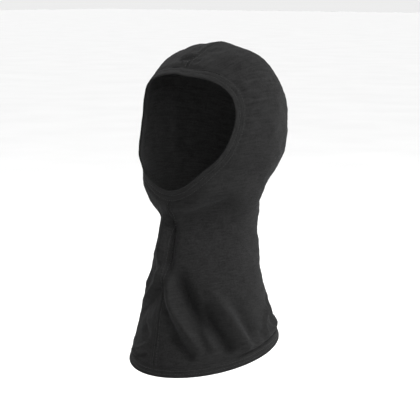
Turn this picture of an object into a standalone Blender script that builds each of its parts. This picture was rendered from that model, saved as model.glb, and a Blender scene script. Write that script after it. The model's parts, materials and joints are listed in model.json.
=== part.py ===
"""Balaclava: a close-fitting knitted hood with a face opening and a bib that flares over the collar.

Two mirrored half-shells of knit meet in the centre plane. A folded strip binds the face opening and
another binds the hem. Rows of thread hold the strips and the centre seams, and a blank care label
is sewn inside the back of the bib.

Frame: metres, +Z up, the face looks along -Y, the wearer's left is +X. The origin is the inside of
the crown, where the head touches it.
"""

import bmesh
import bpy
from math import asin, cos, pi, sin
from mathutils import Matrix, Vector

MM = 0.001

# Cloth and thread
KNIT = 1.0 * MM
BINDING_CLOTH = 0.9 * MM
THREAD_RADIUS = 0.25 * MM
PLAY = 0.3 * MM
SEAM_HALF_GAP = 0.25 * MM

# Cross-sections of the outside of the hood, from the crown down, in millimetres:
# depth below the crown, half width, front, back, and how far the front is pinched to a prow
# (below zero it is squared off instead).
SECTIONS = (
    (0, 0, 0, 0, 0.0),          # apex of the crown
    (15, 58, -30, 25, -0.35),   # crown
    (38, 75, -73, 60, 0.0),     # hairline
    (64, 81, -101, 81, 0.1),    # forehead
    (97, 82, -110, 87, 0.1),    # eyes
    (127, 80, -107, 83, 0.0),   # cheeks
    (147, 74, -97, 70, -0.1),   # mouth
    (171, 71, -88, 42, -0.2),   # chin and nape
    (197, 60, -84, 43, 0.1),    # throat
    (214, 58, -87, 42, 0.4),    # narrowest of the neck
    (250, 63, -95, 42, 0.4),    # collar
    (289, 73, -101, 45, 0.3),   # top of the bib
    (327, 82, -109, 55, 0.2),   # bib
    (361, 88, -116, 64, 0.0),   # hem
)
CROWN_TOP = KNIT
HEM = len(SECTIONS) - 1
HEM_DIP = 20 * MM
HEM_DIP_FROM = 9.4

# Face opening: the sections that its upper and lower edges lie on, its half angle seen from above,
# and how much wider its upper half is than its lower half
FACE_TOP = 1.885
FACE_CHIN = 6.88
FACE_SPREAD = 1.03
FACE_EGG = 0.22
CUTTER_FRONT = -0.20
CUTTER_REAR = -0.02

# Folded strips: how far each leg reaches from the fold, and the play on either side of the knit
FACE_BAND = 13 * MM
HEM_BAND = 12 * MM
PLAY_OUTSIDE = 0.5 * MM
PLAY_INSIDE = 0.8 * MM
FOLD_RADIUS = (PLAY_OUTSIDE + KNIT + PLAY_INSIDE) / 2
FOLD = FOLD_RADIUS + BINDING_CLOTH
FOLD_LIFT = PLAY_OUTSIDE - FOLD_RADIUS
FOLD_STEPS = 4

# Rows of thread, measured from the folded edge of the strip or from the centre plane
FACE_ROWS = {"face_stitch_inner": 5.5 * MM, "face_stitch_outer": 11.5 * MM}
HEM_ROWS = {"hem_stitch_upper": 8.0 * MM, "hem_stitch_lower": 4.0 * MM}
CENTRE_ROW = 2.8 * MM

# Care label inside the back of the bib
LABEL_WIDTH = 30 * MM
LABEL_HEIGHT = 40 * MM
LABEL_CLOTH = 0.6 * MM
LABEL_ABOVE_HEM = 60 * MM
LABEL_CLEARANCE = 3.2 * MM
LABEL_STITCH_INSET = 3 * MM
LABEL_STITCH_POINTS = 7

# Mesh steps
ROWS = 34
COLUMNS = 20
RIM_STEPS = 52
HEM_STEPS = 48
SMALL = 1e-3
WELD = 1e-5
SHARP_EDGE = 0.7

BODY_COLOUR = (0.034, 0.034, 0.036)
BINDING_COLOUR = (0.036, 0.036, 0.038)
THREAD_COLOUR = (0.045, 0.045, 0.048)
LABEL_COLOUR = (0.55, 0.55, 0.54)


# ---------------------------------------------------------------- the surface of the hood

def section(u):
    """The cross-section at section number u, read from a smooth curve through the listed ones."""
    first = SECTIONS[1]
    beyond_apex = (first[0], -first[1], first[3], first[2], first[4])
    last, before = SECTIONS[-1], SECTIONS[-2]
    beyond_hem = tuple(2 * b - a for a, b in zip(before, last))
    known = (beyond_apex,) + SECTIONS + (beyond_hem,)
    i = min(max(int(u), 0), HEM - 1)
    f = u - i
    values = []
    for a, b, c, d in zip(*known[i:i + 4]):
        values.append(b + 0.5 * f * (c - a + f * (2 * a - 5 * b + 4 * c - d + f * (3 * (b - c) + d - a))))
    return values


def surface(u, angle):
    """A point on the outside: section u, angle 0 at the front, pi/2 at the wearer's left."""
    depth, half, front, back, prow = section(u)
    centre = 0.5 * (front + back)
    ahead = cos(angle)
    x = half * sin(angle) * (1 - prow * max(ahead, 0) ** 2)
    y = centre - 0.5 * (back - front) * ahead
    dip = max((u - HEM_DIP_FROM) / (HEM - HEM_DIP_FROM), 0) ** 2
    return Vector((x * MM, y * MM, CROWN_TOP - depth * MM - HEM_DIP * dip * ahead))


def slopes(u, angle):
    """The surface's directions along u and along the angle."""
    down = (surface(u + SMALL, angle) - surface(u - SMALL, angle)) / (2 * SMALL)
    around = (surface(u, angle + SMALL) - surface(u, angle - SMALL)) / (2 * SMALL)
    return down, around


def normal(u, angle):
    """The direction that points out of the hood."""
    down, around = slopes(u, angle)
    return down.cross(around).normalized()


def lifted(u, angle, lift):
    """A point of the surface, moved out by lift."""
    return surface(u, angle) + lift * normal(u, angle)


def step_along(u, angle, direction):
    """The change of (u, angle) that moves a point one metre along a direction in the surface."""
    down, around = slopes(u, angle)
    dd, da, aa = down.dot(down), down.dot(around), around.dot(around)
    pd, pa = down.dot(direction), around.dot(direction)
    determinant = dd * aa - da * da
    return (pd * aa - pa * da) / determinant, (pa * dd - pd * da) / determinant


def rim(t):
    """The edge of the face opening: t is 0 at the forehead, pi at the chin, 2 pi back at the top."""
    u = FACE_TOP + (FACE_CHIN - FACE_TOP) * (1 - cos(t)) / 2
    return u, FACE_SPREAD * sin(t) + FACE_EGG * sin(2 * t)


def beside_rim(t, reach):
    """The (u, angle) that lies reach outside the edge of the face opening."""
    u, angle = rim(t)
    tangent = surface(*rim(t + SMALL)) - surface(*rim(t - SMALL))
    outward = normal(u, angle).cross(tangent).normalized()
    du, da = step_along(u, angle, outward)
    return u + du * reach, angle + da * reach


def above_hem(angle, reach):
    """The (u, angle) that lies reach above the edge of the hem."""
    down, _ = slopes(HEM, angle)
    return HEM - reach / down.length, angle


# ---------------------------------------------------------------- building helpers

def material(name, colour, roughness):
    """A Principled material of one colour."""
    made = bpy.data.materials.new(name)
    made.use_nodes = True
    shader = made.node_tree.nodes["Principled BSDF"]
    shader.inputs["Base Color"].default_value = (*colour, 1)
    shader.inputs["Roughness"].default_value = roughness
    shader.inputs["Metallic"].default_value = 0
    return made


def add_object(name, data, collection, parent=None, surface_material=None):
    """Put mesh or curve data in the scene as one named object."""
    made = bpy.data.objects.new(name, data)
    collection.objects.link(made)
    made.parent = parent
    if surface_material:
        data.materials.append(surface_material)
    return made


def mesh_from(name, points, faces):
    """A mesh from points and faces that share them."""
    made = bpy.data.meshes.new(name)
    made.from_pydata([tuple(p) for p in points], [], faces)
    made.update()
    return made


def smooth(made):
    """Shade a mesh smooth, apart from its sharp edges."""
    made.shade_smooth()
    made.set_sharp_from_angle(angle=SHARP_EDGE)


# ---------------------------------------------------------------- the pieces

def half_shell(name, side, cutter, collection, parent, cloth):
    """One half of the hood: a loft through the sections, given thickness and cut for the face."""
    points = [surface(0, 0) + Vector((side * SEAM_HALF_GAP, 0, 0))]
    for row in range(1, ROWS + 1):
        for column in range(COLUMNS + 1):
            angle = pi * column / COLUMNS
            end, _ = above_hem(angle, FOLD)
            point = surface(end * row / ROWS, angle)
            point.x = side * (point.x + SEAM_HALF_GAP)
            points.append(point)
    faces = []
    for column in range(COLUMNS):
        faces.append((0, 1 + column, 2 + column))
    width = COLUMNS + 1
    for row in range(ROWS - 1):
        for column in range(COLUMNS):
            a = 1 + row * width + column
            faces.append((a, a + width, a + width + 1, a + 1))
    if side < 0:
        faces = [face[::-1] for face in faces]
    half = add_object(name, mesh_from(name, points, faces), collection, parent, cloth)
    smooth(half.data)

    thick = half.modifiers.new("thickness", "SOLIDIFY")
    thick.thickness = KNIT
    thick.offset = -1
    thick.use_even_offset = True
    opening = half.modifiers.new("face_opening", "BOOLEAN")
    opening.operation = "DIFFERENCE"
    opening.solver = "EXACT"
    opening.object = cutter
    return half


def opening_cutter(collection):
    """A prism along Y whose outline is the cut edge of the knit round the face."""
    outline = [surface(*beside_rim(2 * pi * k / RIM_STEPS, FOLD)) for k in range(RIM_STEPS)]
    flat = bpy.data.curves.new("face_opening_outline", "CURVE")
    flat.dimensions = "2D"
    flat.fill_mode = "BOTH"
    flat.extrude = (CUTTER_REAR - CUTTER_FRONT) / 2
    spline = flat.splines.new("POLY")
    spline.points.add(RIM_STEPS - 1)
    spline.use_cyclic_u = True
    for place, point in zip(spline.points, outline):
        place.co = (point.x, point.z, 0, 1)
    drawn = add_object("face_opening_outline", flat, collection)
    middle = Matrix.Translation((0, (CUTTER_FRONT + CUTTER_REAR) / 2, 0))
    drawn.matrix_world = middle @ Matrix.Rotation(pi / 2, 4, "X")
    bpy.context.view_layer.update()
    solid = bpy.data.meshes.new_from_object(drawn.evaluated_get(bpy.context.evaluated_depsgraph_get()))
    edit = bmesh.new()
    edit.from_mesh(solid)
    bmesh.ops.remove_doubles(edit, verts=edit.verts, dist=WELD)
    bmesh.ops.recalc_face_normals(edit, faces=edit.faces)
    edit.to_mesh(solid)
    edit.free()
    cutter = add_object("face_opening_cutter", solid, collection)
    cutter.matrix_world = drawn.matrix_world
    bpy.data.objects.remove(drawn)
    cutter.hide_render = True
    cutter.display_type = "WIRE"
    return cutter


def strip_profile(band):
    """The closed outline of a strip folded over the knit: pairs of reach from the fold, and lift."""
    middle = 0.5 * (FOLD + band)

    def leg(radius, reaches, sign):
        return [(reach, FOLD_LIFT + sign * radius) for reach in reaches]

    def bend(radius, start):
        turns = [start * (pi / 2 - pi * k / FOLD_STEPS) for k in range(1, FOLD_STEPS)]
        return [(FOLD - radius * cos(turn), FOLD_LIFT + radius * sin(turn)) for turn in turns]

    outside = leg(FOLD, (band, middle, FOLD), 1) + bend(FOLD, 1) + leg(FOLD, (FOLD, middle, band), -1)
    inside = leg(FOLD_RADIUS, (band, middle, FOLD), -1) + bend(FOLD_RADIUS, -1)
    return outside + inside + leg(FOLD_RADIUS, (FOLD, middle, band), 1)


def folded_strip(name, place, steps, band, collection, parent, cloth):
    """A strip folded over an edge of the knit and swept all the way round it."""
    profile = strip_profile(band)
    points = []
    for k in range(steps):
        for reach, lift in profile:
            u, angle = place(2 * pi * k / steps, reach)
            points.append(lifted(u, angle, lift))
    size = len(profile)
    faces = []
    for k in range(steps):
        here, there = k * size, (k + 1) % steps * size
        for i in range(size):
            j = (i + 1) % size
            faces.append((here + i, there + i, there + j, here + j))
    data = mesh_from(name, points, faces)
    edit = bmesh.new()
    edit.from_mesh(data)
    bmesh.ops.recalc_face_normals(edit, faces=edit.faces)
    edit.to_mesh(data)
    edit.free()
    smooth(data)
    return add_object(name, data, collection, parent, cloth)


def thread_row(name, points, closed, collection, parent, thread):
    """A row of sewing thread through the given points."""
    curve = bpy.data.curves.new(name, "CURVE")
    curve.dimensions = "3D"
    curve.bevel_depth = THREAD_RADIUS
    curve.bevel_resolution = 0
    curve.use_fill_caps = not closed
    spline = curve.splines.new("POLY")
    spline.points.add(len(points) - 1)
    spline.use_cyclic_u = closed
    for place, point in zip(spline.points, points):
        place.co = (*point, 1)
    return add_object(name, curve, collection, parent, thread)


def strip_rows(place, steps, rows, collection, parent, thread):
    """The rows of thread that hold a folded strip, each a closed ring on its outer leg."""
    lift = FOLD_LIFT + FOLD + PLAY + THREAD_RADIUS
    for name, reach in rows.items():
        points = [lifted(*place(2 * pi * k / steps, reach), lift) for k in range(steps)]
        thread_row(name, points, True, collection, parent, thread)


def centre_rows(collection, parent, thread):
    """The rows of thread on either side of the two centre seams."""
    lift = PLAY + THREAD_RADIUS
    clear = FACE_BAND + 2 * PLAY
    brow, _ = beside_rim(0, clear)
    chin, _ = beside_rim(pi, clear)
    row_step = HEM / ROWS

    def run(first, last, side, facing):
        """One row beside the centre plane, from section first to section last."""
        inner = [i * row_step for i in range(1, ROWS) if first + SMALL < i * row_step < last - SMALL]
        points = []
        for u in [first, *inner, last]:
            half = abs(surface(u, pi / 2).x)
            swing = side * asin(min(CENTRE_ROW / half, 1))
            angle = swing if facing > 0 else pi - swing
            points.append(lifted(u, angle, lift))
        return points

    front_end, _ = above_hem(0, HEM_BAND + 2 * PLAY)
    back_end, _ = above_hem(pi, HEM_BAND + 2 * PLAY)
    over_the_top = CENTRE_ROW / (SECTIONS[1][1] * MM)
    for side, word in ((1, "left"), (-1, "right")):
        front = run(chin, front_end, side, 1)
        thread_row("front_seam_thread_" + word, front, False, collection, parent, thread)
        ahead = run(over_the_top, brow, side, 1)
        behind = run(over_the_top, back_end, side, -1)
        crown = ahead[::-1] + behind[1:]
        thread_row("crown_seam_thread_" + word, crown, False, collection, parent, thread)


def care_label(collection, parent, cloth, thread):
    """A blank label inside the back of the bib, with the short row that holds its upper edge."""
    u, angle = above_hem(pi, LABEL_ABOVE_HEM)
    outward = normal(u, angle)
    down, _ = slopes(u, angle)
    across = Vector((1, 0, 0))
    upward = outward.cross(across).normalized()
    centre = surface(u, angle) - outward * (KNIT + LABEL_CLEARANCE)
    turn = Matrix((across, outward, upward)).transposed().to_4x4()

    bpy.ops.mesh.primitive_cube_add(size=1)
    label = bpy.context.object
    label.name = "care_label"
    label.data.name = "care_label"
    label.data.transform(Matrix.Diagonal((LABEL_WIDTH, LABEL_CLOTH, LABEL_HEIGHT, 1)))
    label.data.materials.append(cloth)
    for owner in label.users_collection:
        owner.objects.unlink(label)
    collection.objects.link(label)
    label.matrix_world = Matrix.Translation(centre) @ turn
    label.parent = parent

    edge = upward * (LABEL_HEIGHT / 2 - LABEL_STITCH_INSET)
    lift = outward * -(LABEL_CLOTH / 2 + PLAY + THREAD_RADIUS)
    half = across * (LABEL_WIDTH / 2 - LABEL_STITCH_INSET)
    places = [2 * k / (LABEL_STITCH_POINTS - 1) - 1 for k in range(LABEL_STITCH_POINTS)]
    points = [centre + edge + lift + half * place for place in places]
    thread_row("label_stitch", points, False, collection, parent, thread)


def main():
    """Clear the scene and build the balaclava."""
    for old in list(bpy.data.objects):
        bpy.data.objects.remove(old)
    parts = bpy.data.collections.new("balaclava")
    cutters = bpy.data.collections.new("cutters")
    bpy.context.scene.collection.children.link(parts)
    bpy.context.scene.collection.children.link(cutters)

    knit = material("hood_knit", BODY_COLOUR, 0.9)
    binding = material("binding_knit", BINDING_COLOUR, 0.85)
    thread = material("sewing_thread", THREAD_COLOUR, 0.6)
    tape = material("label_tape", LABEL_COLOUR, 0.7)

    root = add_object("balaclava", None, parts)
    cutter = opening_cutter(cutters)
    half_shell("left_panel", 1, cutter, parts, root, knit)
    half_shell("right_panel", -1, cutter, parts, root, knit)
    folded_strip("face_binding", beside_rim, RIM_STEPS, FACE_BAND, parts, root, binding)
    folded_strip("hem_binding", above_hem, HEM_STEPS, HEM_BAND, parts, root, binding)
    strip_rows(beside_rim, RIM_STEPS, FACE_ROWS, parts, root, thread)
    strip_rows(above_hem, HEM_STEPS, HEM_ROWS, parts, root, thread)
    centre_rows(parts, root, thread)
    care_label(parts, root, tape, thread)


main()
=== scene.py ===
"""Balaclava, final look: knitted half-shells with folds, folded edge strips and rows of stitches.

The surface is the same one that the CAD solids are cut from: rings of cross-sections from the crown
down, read at (u, a), where u is the section number and a the angle round it, 0 at the front and
pi/2 at the wearer's left. Everything soft is that surface plus relief, in metres, in the row frame.
"""

import json
from math import pi, radians
import bmesh
import bpy
import numpy as np
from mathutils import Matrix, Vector
from mathutils.kdtree import KDTree


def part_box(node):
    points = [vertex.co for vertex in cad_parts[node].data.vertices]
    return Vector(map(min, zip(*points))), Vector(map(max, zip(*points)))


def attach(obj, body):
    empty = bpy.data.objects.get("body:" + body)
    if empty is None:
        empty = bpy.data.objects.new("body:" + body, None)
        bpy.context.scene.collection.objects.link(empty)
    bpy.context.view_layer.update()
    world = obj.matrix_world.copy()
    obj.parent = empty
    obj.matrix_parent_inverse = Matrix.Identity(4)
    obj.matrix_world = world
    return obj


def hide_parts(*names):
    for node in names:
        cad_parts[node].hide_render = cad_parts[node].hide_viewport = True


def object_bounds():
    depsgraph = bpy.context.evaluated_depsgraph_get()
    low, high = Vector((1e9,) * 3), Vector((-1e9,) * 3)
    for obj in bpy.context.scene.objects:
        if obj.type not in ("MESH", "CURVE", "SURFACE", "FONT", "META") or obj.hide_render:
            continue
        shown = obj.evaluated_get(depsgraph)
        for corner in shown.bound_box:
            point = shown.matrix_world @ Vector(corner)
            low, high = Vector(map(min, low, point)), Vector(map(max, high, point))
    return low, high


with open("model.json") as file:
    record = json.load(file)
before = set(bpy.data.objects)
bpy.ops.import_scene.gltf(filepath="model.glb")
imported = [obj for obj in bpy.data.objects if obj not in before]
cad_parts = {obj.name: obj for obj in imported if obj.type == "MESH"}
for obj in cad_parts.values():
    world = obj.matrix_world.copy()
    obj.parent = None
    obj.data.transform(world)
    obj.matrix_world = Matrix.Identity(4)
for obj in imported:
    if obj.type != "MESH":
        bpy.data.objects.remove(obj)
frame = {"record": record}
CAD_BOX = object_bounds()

MM = 0.001
BODY = "root"
STEP = 1e-3     # the small step in u, a or t that slopes are measured over

# ---- driving dimensions

KNIT = 1.0 * MM

# depth below the crown, half width, front, back, prow (all but the last in millimetres)
SECTIONS = np.array((
    (0, 0, 0, 0, 0.0),          # apex of the crown
    (15, 58, -30, 25, -0.35),   # crown
    (38, 75, -73, 60, 0.0),     # hairline
    (64, 81, -101, 81, 0.1),    # forehead
    (97, 82, -110, 87, 0.1),    # eyes
    (127, 80, -107, 83, 0.0),   # cheeks
    (147, 74, -97, 70, -0.1),   # mouth
    (171, 71, -88, 42, -0.2),   # chin and nape
    (197, 60, -84, 43, 0.1),    # throat
    (214, 58, -87, 42, 0.4),    # narrowest of the neck
    (250, 63, -95, 42, 0.4),    # collar
    (289, 73, -101, 45, 0.3),   # top of the bib
    (327, 82, -109, 55, 0.2),   # bib
    (361, 88, -116, 64, 0.0),   # hem
))
HEM = len(SECTIONS) - 1
HEM_DIP = 20 * MM
HEM_DIP_FROM = 9.4

# the face opening: first and last section, half width as an angle, and how egg-shaped it is
FACE_TOP = 1.885
FACE_CHIN = 6.88
FACE_SPREAD = 1.03
FACE_EGG = 0.22

# how wide each edge strip lies on the hood, and the width of the flat strip it is folded from
FACE_BAND = 13 * MM
HEM_BAND = 12 * MM

# where the face strip's two ends meet, at the top: how far each is shifted, one in and one out,
# and the turns over which the shift changes and fades
JOIN_OFFSET = 2.0 * MM
JOIN_SHARPNESS = 0.05
JOIN_REACH = 0.33

SEAT = Vector(next(m for m in frame["record"]["mounts"] if m["name"] == "head_seat")["pos_m"])
CROWN_TOP = SEAT.z + KNIT


# ---- the surface of the hood

def smoothstep(low, high, value):
    """0 below low, 1 above high, smooth between."""
    f = np.clip((value - low) / (high - low), 0, 1)
    return f * f * (3 - 2 * f)


def spline(before, rows, after, s):
    """A smooth curve through rows of numbers, read at row number s."""
    known = np.vstack((before, rows, after))
    i = np.clip(s.astype(int), 0, len(rows) - 2)
    f = (s - i)[..., None]
    a, b, c, d = known[i], known[i + 1], known[i + 2], known[i + 3]
    return b + 0.5 * f * (c - a + f * (2 * a - 5 * b + 4 * c - d + f * (3 * (b - c) + d - a)))


def section(u):
    """The five numbers of the cross-section at section number u, along the last axis."""
    depth, half, front, back, prow = SECTIONS[1]
    beyond_apex = (depth, -half, back, front, prow)
    return spline(beyond_apex, SECTIONS, 2 * SECTIONS[-1] - SECTIONS[-2], u)


def surface(u, a):
    """Points on the outside of the hood."""
    u, a = np.broadcast_arrays(np.asarray(u, float), np.asarray(a, float))
    depth, half, front, back, prow = np.moveaxis(section(u), -1, 0)
    ahead = np.cos(a)
    x = half * np.sin(a) * (1 - prow * np.maximum(ahead, 0) ** 2)
    y = 0.5 * (front + back) - 0.5 * (back - front) * ahead
    dip = np.maximum((u - HEM_DIP_FROM) / (HEM - HEM_DIP_FROM), 0) ** 2
    z = CROWN_TOP - depth * MM - HEM_DIP * dip * ahead
    return np.stack((SEAT.x + x * MM, SEAT.y + y * MM, z), -1)


def unit(vectors):
    """Vectors of length 1."""
    return vectors / np.maximum(np.linalg.norm(vectors, axis=-1, keepdims=True), 1e-12)


def slopes(u, a):
    """The surface's directions along u and along the angle."""
    down = (surface(u + STEP, a) - surface(u - STEP, a)) / (2 * STEP)
    around = (surface(u, a + STEP) - surface(u, a - STEP)) / (2 * STEP)
    return down, around


def normal(u, a):
    """The direction that points out of the hood."""
    down, around = slopes(u, a)
    return unit(np.cross(down, around))


def rim(t):
    """The edge of the face opening: t is 0 at the forehead and pi at the chin."""
    u = FACE_TOP + (FACE_CHIN - FACE_TOP) * (1 - np.cos(t)) / 2
    return u, FACE_SPREAD * np.sin(t) + FACE_EGG * np.sin(2 * t)


def rim_slope(t):
    """The rim's direction at t."""
    return (surface(*rim(t + STEP)) - surface(*rim(t - STEP))) / (2 * STEP)


def rim_step(t):
    """How far the rim is shifted, since the strip's two ends meet out of line at the top."""
    turn = (t + pi) % (2 * pi) - pi
    return JOIN_OFFSET * np.tanh(turn / JOIN_SHARPNESS) * np.exp(-(turn / JOIN_REACH) ** 2)


def beside_rim(t, reach):
    """The (u, a) that lies reach outside the edge of the face opening."""
    t, reach = np.broadcast_arrays(np.asarray(t, float), np.asarray(reach, float))
    u, a = rim(t)
    outward = unit(np.cross(normal(u, a), rim_slope(t)))
    down, around = slopes(u, a)
    dd, da, aa = (down * down).sum(-1), (down * around).sum(-1), (around * around).sum(-1)
    pd, pa = (down * outward).sum(-1), (around * outward).sum(-1)
    scale = (reach - rim_step(t)) / (dd * aa - da * da)
    return u + (pd * aa - pa * da) * scale, a + (pa * dd - pd * da) * scale


def above_hem(a, reach):
    """The (u, a) that lies reach above the edge of the hem."""
    a, reach = np.broadcast_arrays(np.asarray(a, float), np.asarray(reach, float))
    down, _ = slopes(np.full(a.shape, float(HEM)), a)
    return HEM - reach / np.linalg.norm(down, axis=-1), a


# ---- relief: folds, creases, seams

def curve_through(path, count=90):
    """A smooth run of (u, a) through a few chosen points."""
    path = np.array(path, float).reshape(-1, 2)
    s = np.linspace(0, len(path) - 1, count)
    return spline(2 * path[0] - path[1], path, 2 * path[-1] - path[-2], s).T


def nearest(line, points):
    """For each point: the index of the nearest point of a line, and the distance to it."""
    tree = KDTree(len(line))
    for k, place in enumerate(line):
        tree.insert(place, k)
    tree.balance()
    found = [tree.find(p)[1:] for p in points]
    return np.array([f[0] for f in found]), np.array([f[1] for f in found])


def crease(points, path, height, left, right, ends):
    """A ridge (or, below zero, a valley) along a path, with a half width to either side of it."""
    u, a = curve_through(path)
    line = surface(u, a)
    reach = 3 * max(left, right)
    low, high = line.min(0) - reach, line.max(0) + reach
    near = np.all((points > low) & (points < high), axis=1)
    ridge = np.zeros(len(points))
    if not near.any():
        return ridge
    index, distance = nearest(line, points[near])
    across = np.cross(normal(u, a), np.gradient(line, axis=0))[index]
    side = ((points[near] - line[index]) * across).sum(-1)
    width = np.where(side > 0, left, right)
    along = index / (len(line) - 1)
    fade = smoothstep(0, ends[0], along) * smoothstep(0, ends[1], 1 - along)
    fade[(index == 0) | (index == len(line) - 1)] = 0
    ridge[near] = height * np.exp(-(distance / width) ** 2) * fade
    return ridge


WAVES = 48
WAVE_SPREAD = (0.7, 1.6)


def ripple(points, size, seed, stretch=(1, 1, 1)):
    """A smooth random field of about unit height, with bumps of the given size."""
    draw = np.random.default_rng(seed)
    directions = unit(draw.normal(size=(WAVES, 3)))
    pitch = 2 * pi / (size * draw.uniform(*WAVE_SPREAD, WAVES))
    phase = draw.uniform(0, 2 * pi, WAVES)
    scaled = points / np.array(stretch)
    total = np.zeros(len(points))
    for k in range(WAVES):
        total += np.sin(pitch[k] * (scaled @ directions[k]) + phase[k])
    return total * np.sqrt(2 / WAVES)


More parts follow.
